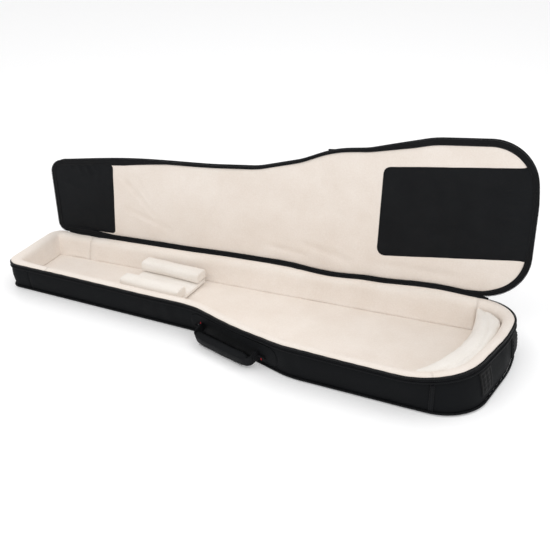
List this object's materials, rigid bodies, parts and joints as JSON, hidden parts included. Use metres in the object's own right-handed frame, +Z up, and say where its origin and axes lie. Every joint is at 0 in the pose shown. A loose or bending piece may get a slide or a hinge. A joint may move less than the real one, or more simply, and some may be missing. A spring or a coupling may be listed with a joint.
{
  "type": "padded gig bag",
  "caption": "Long padded instrument bag with a plush tray, a zip-round lid hinged on one long side, a neck cradle, wear patches, end bumpers and a side carry handle.",
  "frame": {"origin": "on the underside, below the middle of the bag's length and of its straight axis", "axes": "+X from the head end to the body end, +Y towards the hinge, +Z up; the lid is stored open at 90 degrees"},
  "size_m": [1.3485, 0.4714, 0.4974],
  "materials": {
    "nylon_shell": "black coated nylon, fine plain weave",
    "foam": "closed-cell foam, hidden",
    "plush_lining": "cream short-pile plush",
    "plush_white": "off-white plush",
    "piping": "black corded piping",
    "zip_tape": "black twill tape",
    "zip_coil": "nylon coil zipper on twill tape",
    "wear_patch": "black heavy woven nylon",
    "rubber": "moulded ribbed rubber",
    "rivet_metal": "dark grey satin",
    "red_tab": "red bar-tacked ribbon",
    "webbing": "black ribbed webbing",
    "grip": "padded soft-touch grip",
    "hook_and_loop": "hook-and-loop tape",
    "slider_metal": "black enamelled zinc",
    "pull_cord": "moulded pull tab"
  },
  "bodies": {
    "tray": {"bottom_panel": "nylon_shell", "side_panel_front": "nylon_shell", "side_panel_back": "nylon_shell", "side_panel_body_end": "nylon_shell", "side_panel_head_end": "nylon_shell", "foam_front_neck": "foam", "foam_front_flare": "foam", "foam_front_body": "foam", "foam_back": "foam", "foam_body_end": "foam", "foam_head_end": "foam", "floor_foam": "foam", "floor_lining": "plush_lining", "lining_front": "plush_lining", "lining_back": "plush_lining", "lining_body_end": "plush_lining", "lining_head_end": "plush_lining", "body_end_pad": "plush_white", "bottom_piping": "piping", "rim_piping": "piping", "zip_tape": "zip_tape", "zip_teeth": "zip_coil", "hinge_gusset": "zip_tape", "hinge_fold": "zip_tape", "zip_end_tabs": "zip_tape", "corner_seam_strip": "webbing", "bumper_front": "rubber", "bumper_back": "rubber", "handle_patch": "nylon_shell", "handle_anchor_head": "webbing", "handle_anchor_body": "webbing", "rivets": "rivet_metal", "bartacks": "red_tab"},
    "lid": {"lid_gusset": "nylon_shell", "lid_outer_panel": "nylon_shell", "lid_piping": "piping", "lid_foam": "foam", "lid_lining": "plush_lining", "lid_zip_tape": "zip_tape", "lid_zip_teeth": "zip_coil", "headstock_patch": "wear_patch", "bridge_patch": "wear_patch", "body_pocket": "nylon_shell", "body_pocket_zip": "zip_coil", "head_pocket": "nylon_shell", "head_pocket_zip": "zip_coil"},
    "handle": {"handle_webbing": "webbing", "handle_grip": "grip"},
    "cradle": {"cradle_base": "plush_white", "cradle_hook_strip": "hook_and_loop", "cradle_ear_front": "plush_white", "cradle_ear_back": "plush_white"},
    "slider_head": {"slider_head": "slider_metal"},
    "pull_head": {"pull_head": "pull_cord"},
    "slider_body": {"slider_body": "slider_metal"},
    "pull_body": {"pull_body": "pull_cord"},
    "body_pocket_slider": {"body_pocket_slider": "slider_metal"},
    "body_pocket_pull": {"body_pocket_pull": "pull_cord"},
    "head_pocket_slider": {"head_pocket_slider": "slider_metal"},
    "head_pocket_pull": {"head_pocket_pull": "pull_cord"}
  },
  "joints": [
    {"name": "lid_hinge", "type": "hinge", "parent": "tray", "child": "lid", "pos_m": [0, 0.16531, 0.086], "axis": [-0.996, -0.0877, -0.015], "range_deg": [-90, 60]},
    {"name": "handle_swing", "type": "hinge", "parent": "tray", "child": "handle", "pos_m": [0.02376, -0.15783, 0.031], "axis": [-0.9651, 0.262, 0], "range_deg": [0, 85]},
    {"name": "cradle_slide", "type": "slide", "parent": "tray", "child": "cradle", "axis": [1, 0, 0], "range_m": [-0.04, 0.08]},
    {"name": "slider_head_slide", "type": "slide", "parent": "tray", "child": "slider_head", "axis": [-0.996, -0.0877, -0.015], "range_m": [0, 0.018]},
    {"name": "pull_head_swing", "type": "hinge", "parent": "slider_head", "child": "pull_head", "pos_m": [-0.57815, 0.11764, 0.07031], "axis": [-0.0877, 0.9962, -0.0013], "range_deg": [-60, 60]},
    {"name": "slider_body_slide", "type": "slide", "parent": "tray", "child": "slider_body", "axis": [0.996, 0.0877, 0.015], "range_m": [0, 0.012]},
    {"name": "pull_body_swing", "type": "hinge", "parent": "slider_body", "child": "pull_body", "pos_m": [0.54373, 0.21638, 0.08718], "axis": [-0.0877, 0.9962, -0.0013], "range_deg": [-60, 60]},
    {"name": "body_pocket_slide", "type": "slide", "parent": "lid", "child": "body_pocket_slider", "axis": [0.1023, 0.0077, -0.9947], "range_m": [0, 0.226]},
    {"name": "body_pocket_pull_swing", "type": "hinge", "parent": "body_pocket_slider", "child": "body_pocket_pull", "pos_m": [0.13296, 0.2247, 0.39541], "axis": [-0.0876, 0.9962, -0.0013], "range_deg": [-60, 60]},
    {"name": "head_pocket_slide", "type": "slide", "parent": "lid", "child": "head_pocket_slider", "axis": [0.1023, 0.0077, -0.9947], "range_m": [0, 0.11]},
    {"name": "head_pocket_pull_swing", "type": "hinge", "parent": "head_pocket_slider", "child": "head_pocket_pull", "pos_m": [-0.47009, 0.16745, 0.2637], "axis": [-0.0876, 0.9962, -0.0013], "range_deg": [-60, 60]}
  ]
}
